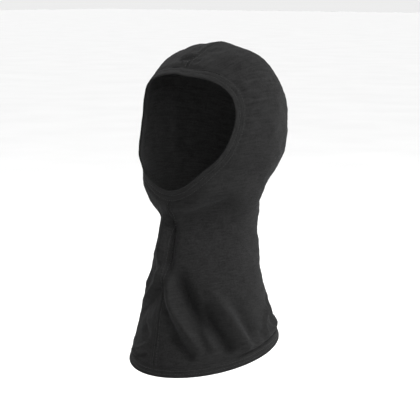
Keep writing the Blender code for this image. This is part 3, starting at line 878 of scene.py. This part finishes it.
def folded_strip(name, seed, cloths, place, presence, steps, band, rows):
    """A strip folded over the edge of the hood, drawn in at every stitch, and its cut length.

    The two cloths are its outside and its lining.
    """
    loop, along_cloth = strip_profile(band, rows)
    turn = np.arange(steps) * 2 * pi / steps
    ring = surface(*place(turn, 0.6 * band))
    hops = np.linalg.norm(np.diff(ring, axis=0, append=ring[:1]), axis=1)
    length = np.concatenate(([0], np.cumsum(hops)))
    run, total = length[:-1], length[-1]
    stitches = round(total / STITCH_PITCH)
    beat = 0.5 + 0.5 * np.cos(2 * pi * stitches * run / total)
    wide = WIDTH_WOBBLE * ripple(ring, WIDTH_WOBBLE_SIZE, seed)
    tall = STAND_WOBBLE * ripple(ring, STAND_WOBBLE_SIZE, seed + 1)

    reach, lift = loop[:, 0], loop[:, 1]
    u, a = place(turn[:, None], reach + wide[:, None] * (reach / band))
    flat_height = relief(u, a, seams=False)[0].reshape(u.shape)
    outside = lift > LEG_FOOT
    stand = (presence(turn) + tall)[:, None]
    rise = np.where(outside, LEG_FOOT + (lift - LEG_FOOT) * stand, lift)
    for row in rows.values():
        draw_in = DRAW_IN * np.exp(-((reach - row) / DRAW_IN_WIDTH) ** 2) * outside
        rise = rise - beat[:, None] * draw_in
    points = surface(u, a) + normal(u, a) * (rise + flat_height)[..., None]
    uv = np.stack(np.broadcast_arrays(run[:, None], along_cloth), -1)
    inward = (lift < -KNIT) & (reach > FOLD_RADIUS)
    slots = np.broadcast_to(inward, u.shape).astype(int).ravel()
    faces = grid_faces(steps, len(loop), closed=True)
    piece = new_mesh(name, points.reshape(-1, 3), faces, cloths, uv.reshape(-1, 2), slots)
    face_out(piece)
    return piece, total


# ---- stitches

STITCH_LENGTH = 2.5 * MM
STITCH_SINK = 0.55 * MM  # how far each stitch's ends dip into the cloth
THREAD_RADIUS = 0.27 * MM
THREAD_SIDES = 8
THREAD_SPREAD = 1.15  # how much wider than tall a pulled stitch is
STRIP_THREAD_LIFT = 0.08 * MM
SEAM_THREAD_LIFT = 0.12 * MM

# places along a stitch, from end to end, and how thick it is there
STATIONS = np.array((-1.0, -0.93, -0.75, -0.35, 0.0, 0.35, 0.75, 0.93, 1.0))
GIRTH = np.array((0.0, 0.55, 0.92, 1.0, 1.0, 1.0, 0.92, 0.55, 0.0))


def stitch_row(name, u, a, lift, thread, closed=False, height=None):
    """A row of separate stitches along a run of (u, a), over cloth at a height, or over the hood."""
    n = normal(u, a)
    if height is None:
        height = relief(u, a)[0]
    line = surface(u, a) + n * (height + lift)[:, None]
    if closed:
        line, n = np.vstack((line, line[:1])), np.vstack((n, n[:1]))
    run = np.concatenate(([0], np.cumsum(np.linalg.norm(np.diff(line, axis=0), axis=1))))
    count = round(run[-1] / STITCH_PITCH)
    middle = (np.arange(count) + 0.5) * run[-1] / count

    def at(values, s):
        """The values of the run's points, read at distances along it."""
        return np.stack([np.interp(s, run, values[:, k]) for k in range(3)], -1)

    centre, up = at(line, middle), unit(at(n, middle))
    ahead = unit(at(line, middle + 0.5 * STITCH_LENGTH) - at(line, middle - 0.5 * STITCH_LENGTH))
    beside = unit(np.cross(up, ahead))
    sink = -STITCH_SINK * np.abs(STATIONS) ** 3
    rings = len(STATIONS) - 2
    around = 2 * pi * np.arange(THREAD_SIDES) / THREAD_SIDES
    points, faces = [], []
    for k in range(count):
        base = len(points)
        for s, g, d in zip(STATIONS, GIRTH, sink):
            core = centre[k] + ahead[k] * s * STITCH_LENGTH / 2 + up[k] * d
            if g == 0:
                points.append(core)
                continue
            for c in around:
                offset = beside[k] * np.cos(c) * THREAD_SPREAD + up[k] * np.sin(c)
                points.append(core + offset * g * THREAD_RADIUS)
        tip = base + 1 + rings * THREAD_SIDES
        last_ring = tip - THREAD_SIDES
        for j in range(THREAD_SIDES):
            next_j = (j + 1) % THREAD_SIDES
            faces.append((base, base + 1 + next_j, base + 1 + j))
            faces.append((tip, last_ring + j, last_ring + next_j))
            for p in range(base + 1, last_ring, THREAD_SIDES):
                beyond = p + THREAD_SIDES
                faces.append((p + j, p + next_j, beyond + next_j, beyond + j))
    piece = new_mesh(name, points, faces, [thread])
    face_out(piece)
    return piece


def centre_run(first, last, side, facing, count=400):
    """A line beside the centre plane, from section first to last: facing 1 is ahead, -1 behind."""
    u = np.linspace(first, last, count)
    half = np.abs(surface(u, pi / 2)[:, 0] - SEAT.x)
    swing = side * np.arcsin(np.minimum(SEAM_ROW / half, 1))
    return u, (swing if facing > 0 else pi - swing)


# ---- care label

LABEL_WIDTH = 30 * MM
LABEL_HEIGHT = 40 * MM
LABEL_CLOTH = 0.35 * MM
LABEL_GRID = (30, 24)
LABEL_TOP_GAP = 2.2 * MM  # how far ahead of its CAD box's back the label hangs, at the top
LABEL_FOOT_GAP = 0.8 * MM  # and at its lower edge
LABEL_BOW, LABEL_SAG, LABEL_CURL = 0.7 * MM, 0.5 * MM, 0.6 * MM
LABEL_AHEAD = 0.9 * MM
LABEL_TACKS = 9
TACK_STRETCH = 4.2
TACK_SINK = 0.12 * MM


def care_label(cloth):
    """A blank tape inside the back of the bib, sewn along its upper edge and hanging free below."""
    low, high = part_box("care_label")
    rows, columns = LABEL_GRID
    up, across = np.meshgrid(np.linspace(0, 1, rows), np.linspace(-1, 1, columns), indexing="ij")
    z = low[2] + (high[2] - low[2]) * up
    y_top, y_foot = high[1] - LABEL_TOP_GAP, high[1] - LABEL_FOOT_GAP
    lean = y_top + (y_foot - y_top) * (1 - up)
    bow = LABEL_BOW * across ** 2 * (1 - up) - LABEL_SAG * np.sin(pi * up) * (1 - up)
    curl = LABEL_CURL * (1 - up) ** 3 * np.sin(2.2 * across)
    x = SEAT.x + 0.5 * (high[0] - low[0]) * across * (1 - 0.01 * up)
    points = np.stack((x, lean - bow + curl - LABEL_AHEAD, z), -1).reshape(-1, 3)
    back = points + np.array((0, LABEL_CLOTH, 0))
    uv = np.stack((across * LABEL_WIDTH / 2, up * LABEL_HEIGHT), -1).reshape(-1, 2)
    piece = thick_sheet("blank_label", points, back, grid_faces(rows, columns), (cloth, cloth), uv)
    face_out(piece)
    return piece


def label_stitches(label, thread):
    """The short row of stitches along the label's upper edge."""
    low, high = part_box("label_stitch")
    z = 0.5 * (low[2] + high[2])
    tape = [v.co for v in label.data.vertices]
    edit = bmesh.new()
    for x in np.linspace(low[0], high[0], LABEL_TACKS):
        near = tape[nearest(tape, [(x, low[1] - 20 * MM, z)])[0][0]]
        made = bmesh.ops.create_uvsphere(edit, u_segments=8, v_segments=6, radius=THREAD_RADIUS)
        for v in made["verts"]:
            v.co.x *= TACK_STRETCH
            v.co += Vector((x, near.y - TACK_SINK, z))
    mesh = bpy.data.meshes.new("label_stitches")
    edit.to_mesh(mesh)
    edit.free()
    mesh.shade_smooth()
    mesh.materials.append(thread)
    return new_object("label_stitches", mesh)


# ---- camera, floor and light

VIEW_AZIMUTH = 40.9
VIEW_ELEVATION = 7.96
VIEW_DISTANCE = 1.89
VIEW_ASIDE = 2.5 * MM  # how far to the right of the hood's axis the camera looks
VIEW_HEIGHT = -196.6 * MM
HOOD_AXIS_Y = -19.2 * MM
LENS = 136.8


def toward(azimuth, elevation):
    """A direction: azimuth in degrees from the front to the wearer's left, elevation above level."""
    a, e = radians(azimuth), radians(elevation)
    return Vector((np.sin(a) * np.cos(e), -np.cos(a) * np.cos(e), np.sin(e)))


def camera():
    """The camera at the picture's angle, looking at the middle of the hood."""
    azimuth = radians(VIEW_AZIMUTH)
    right = Vector((np.cos(azimuth), np.sin(azimuth), 0))
    back = toward(VIEW_AZIMUTH, VIEW_ELEVATION)
    data = bpy.data.cameras.new("camera")
    data.lens = LENS
    data.sensor_width = 36
    data.clip_end = 50
    made = new_object("camera", data)
    aim = right * VIEW_ASIDE + Vector((0, HOOD_AXIS_Y, VIEW_HEIGHT))
    made.location = aim + back * VIEW_DISTANCE
    made.rotation_euler = back.to_track_quat("Z", "Y").to_euler()
    bpy.context.scene.camera = made


# square lights aimed at the middle of the hood: azimuth, elevation and power of each
AREA_LIGHTS = {
    "key": (122, 45, 19),
    "back": (165, 60, 12),
    "front": (72, 52, 17),
    "fill": (25, 10, 5),
    "rim": (-98, 35, 18),
}
LIGHT_DISTANCE = 2.2
LIGHT_SIZE = 1.0
HOOD_MIDDLE = Vector((0, 0, -0.19))


def area_lights():
    """Hang the square lights."""
    for name, (azimuth, elevation, power) in AREA_LIGHTS.items():
        data = bpy.data.lights.new(name, "AREA")
        data.energy = power
        data.size = LIGHT_SIZE
        direction = toward(azimuth, elevation)
        made = new_object(name, data)
        made.location = HOOD_MIDDLE + direction * LIGHT_DISTANCE
        made.rotation_euler = direction.to_track_quat("Z", "Y").to_euler()


# soft lights of the studio all round: azimuth, elevation, tightness and brightness of each
SOFT_LIGHTS = (
    (110, 60, 16, 1.7),  # overhead, to the wearer's left
    (165, 60, 16, 3.4),  # overhead, behind
    (100, 15, 4, 2.5),  # low light along the wearer's left side
    (60, 15, 4, 2.9),  # low light from the wearer's left front, into the face opening
)
AMBIENT = 0.03
HORIZON = 0.85  # brightness of the pale band at the horizon
HORIZON_FROM, HORIZON_TO = 0.15, 0.24
FLOOR_SIZE = 60
FLOOR_DROP = 0.15


def studio():
    """A pale floor under soft light, strongest from above and from the wearer's left."""
    below = CAD_BOX[0][2] - FLOOR_DROP
    bpy.ops.mesh.primitive_plane_add(size=FLOOR_SIZE, location=(0, 0, below))
    floor = bpy.context.object
    floor.name = "floor"
    n = Nodes(bpy.data.materials.new("floor_white"))
    white = n.ramp(n.noise(n.place(), scale=3.0), (0.3, 0.80), (0.7, 0.83))
    floor.data.materials.append(n.finish(Base_Color=white, Roughness=0.9, Specular_IOR_Level=0.0))

    world = bpy.data.worlds.new("studio")
    bpy.context.scene.world = world
    n = Nodes(world)
    ray = n.add("ShaderNodeTexCoord").outputs["Generated"]
    total = AMBIENT
    for azimuth, elevation, tightness, brightness in SOFT_LIGHTS:
        dot = n.add("ShaderNodeVectorMath", operation="DOT_PRODUCT")
        n.put(dot.inputs[0], ray)
        dot.inputs[1].default_value = toward(azimuth, elevation)
        lobe = n.math("POWER", n.math("MAXIMUM", dot.outputs["Value"], 0.0), tightness)
        total = n.times(lobe, brightness, total)
    split = n.add("ShaderNodeSeparateXYZ")
    n.put(split.inputs[0], ray)
    band = n.add("ShaderNodeMapRange", interpolation_type="SMOOTHSTEP")
    slant = n.math("ABSOLUTE", split.outputs[2])
    for socket, value in zip(band.inputs, (slant, HORIZON_FROM, HORIZON_TO, HORIZON, 0.0)):
        n.put(socket, value)
    total = n.math("MAXIMUM", total, band.outputs[0])
    n.finish(Color=(1, 1, 1, 1), Strength=total)
    area_lights()
    view = bpy.context.scene.view_settings
    view.view_transform = "Standard"
    view.look = "None"


# ---- putting it together

SIDES = ((1, "left"), (-1, "right"))

# each strip's rows of stitches by their CAD node, as distances from the fold
FACE_ROWS = {"face_stitch_inner": 5.5 * MM, "face_stitch_outer": 11.5 * MM}
HEM_ROWS = {"hem_stitch_upper": 8.0 * MM, "hem_stitch_lower": 4.0 * MM}

# where each strip runs, how it stands, in how many steps, how wide it lies, and its rows
FACE_STRIP = (beside_rim, chin_presence, 560, FACE_BAND, FACE_ROWS)
HEM_STRIP = (above_hem, hem_presence, 640, HEM_BAND, HEM_ROWS)
FACE_SEED, HEM_SEED = 21, 31

PAST_STRIP = 1 * MM  # the seams' stitches start this far beyond the strips
CROWN_START = 0.05  # the section where the crown's two runs of stitches meet
CROWN_COUNT = 900  # points in the run down the back


def strip_stitches(thread, place, presence, steps, band, rows):
    """The rows of stitches on a folded strip, each riding in its own dent."""
    turn = np.arange(steps) * 2 * pi / steps
    pieces = []
    for node, reach in rows.items():
        u, a = place(turn, np.full(steps, reach))
        stand = LEG_FOOT + (float(swell(reach, band, rows)) - LEG_FOOT) * presence(turn)
        height = relief(u, a, seams=False)[0] + stand
        name = node.replace("stitch", "stitches")
        piece = stitch_row(name, u, a, STRIP_THREAD_LIFT, thread, closed=True, height=height)
        pieces.append(finish_piece(piece, node))
    return pieces


def seam_stitches(thread):
    """The rows of stitches along both sides of the front seam and of the seam over the crown."""
    brow, chin = (float(beside_rim(t, FACE_BAND + PAST_STRIP)[0]) for t in (0.0, pi))
    front_end, back_end = (float(above_hem(a, HEM_BAND + PAST_STRIP)[0]) for a in (0.0, pi))
    for side, word in SIDES:
        front = centre_run(chin, front_end, side, 1)
        ahead = centre_run(CROWN_START, brow, side, 1)
        behind = centre_run(CROWN_START, back_end, side, -1, CROWN_COUNT)
        crown = [np.concatenate((v[::-1], w[1:])) for v, w in zip(ahead, behind)]
        for seam, (u, a) in (("front", front), ("crown", crown)):
            row = stitch_row(f"{seam}_seam_stitches_{word}", u, a, SEAM_THREAD_LIFT, thread)
            finish_piece(row, f"{seam}_seam_thread_{word}")


def main():
    """Build every piece of the balaclava over the frame."""
    camera()
    outside, inside, strip, lining = (knit_material(name, *row) for name, row in KNITS.items())
    thread = thread_material("thread", *THREAD_GREYS)
    tape = tape_material("tape", *TAPE_GREYS)

    pattern, half_area = flat_pattern()
    for side, word in SIDES:
        half = half_hood(f"hood_{word}_half", side, pattern, (outside, inside))
        finish_piece(half, f"{word}_panel")

    cloths = (strip, lining)
    face, face_length = folded_strip("face_strip", FACE_SEED, cloths, *FACE_STRIP)
    hem, hem_length = folded_strip("hem_strip", HEM_SEED, cloths, *HEM_STRIP)
    finish_piece(face, "face_binding")
    finish_piece(hem, "hem_binding")
    face_threads = strip_stitches(thread, *FACE_STRIP)
    hem_threads = strip_stitches(thread, *HEM_STRIP)
    seam_stitches(thread)

    label = finish_piece(care_label(tape), "care_label")
    tacks = finish_piece(label_stitches(label, thread), "label_stitch")

    studio()


main()
